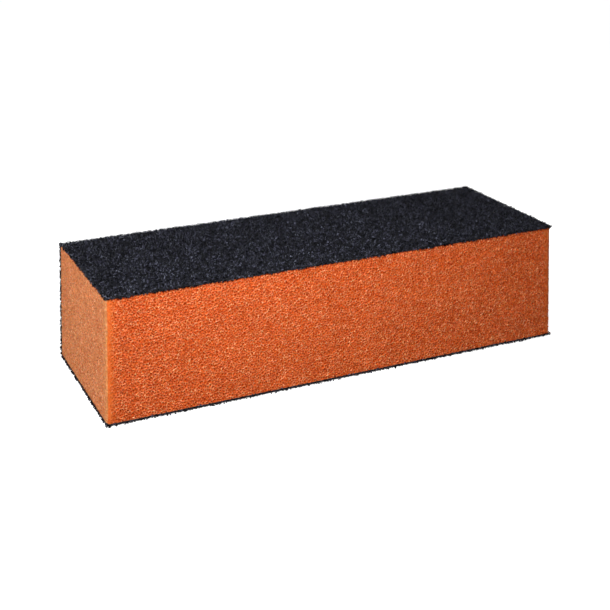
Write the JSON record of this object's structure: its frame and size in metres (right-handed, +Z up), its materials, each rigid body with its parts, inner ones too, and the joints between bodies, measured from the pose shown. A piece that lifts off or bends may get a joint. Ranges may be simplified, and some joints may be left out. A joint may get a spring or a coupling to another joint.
{
  "type": "foam sanding block",
  "caption": "Slim rectangular foam sanding block with black abrasive on its wide faces and back edge; the front and ends are bare orange foam.",
  "frame": {"origin": "centre of the underside, on the outer surface of the lower abrasive coat", "axes": "+X along the block, +Z up through the two wide faces, +Y towards the coated back face; the bare foam front looks along -Y"},
  "size_m": [0.1, 0.035, 0.0245],
  "materials": {
    "foam": "matte open-cell polyurethane foam, bare cut surface",
    "make_resin": "black resin soaked into the foam's surface",
    "abrasive_grain": "sharp black silicon carbide grains with glinting facets",
    "size_resin": "satin black resin over and between the grains"
  },
  "bodies": {
    "root": {"foam_core": "foam", "top_make_coat": "make_resin", "top_grit": "abrasive_grain", "top_size_coat": "size_resin", "bottom_make_coat": "make_resin", "bottom_grit": "abrasive_grain", "bottom_size_coat": "size_resin", "back_make_coat": "make_resin", "back_grit": "abrasive_grain", "back_size_coat": "size_resin"}
  },
  "joints": []
}
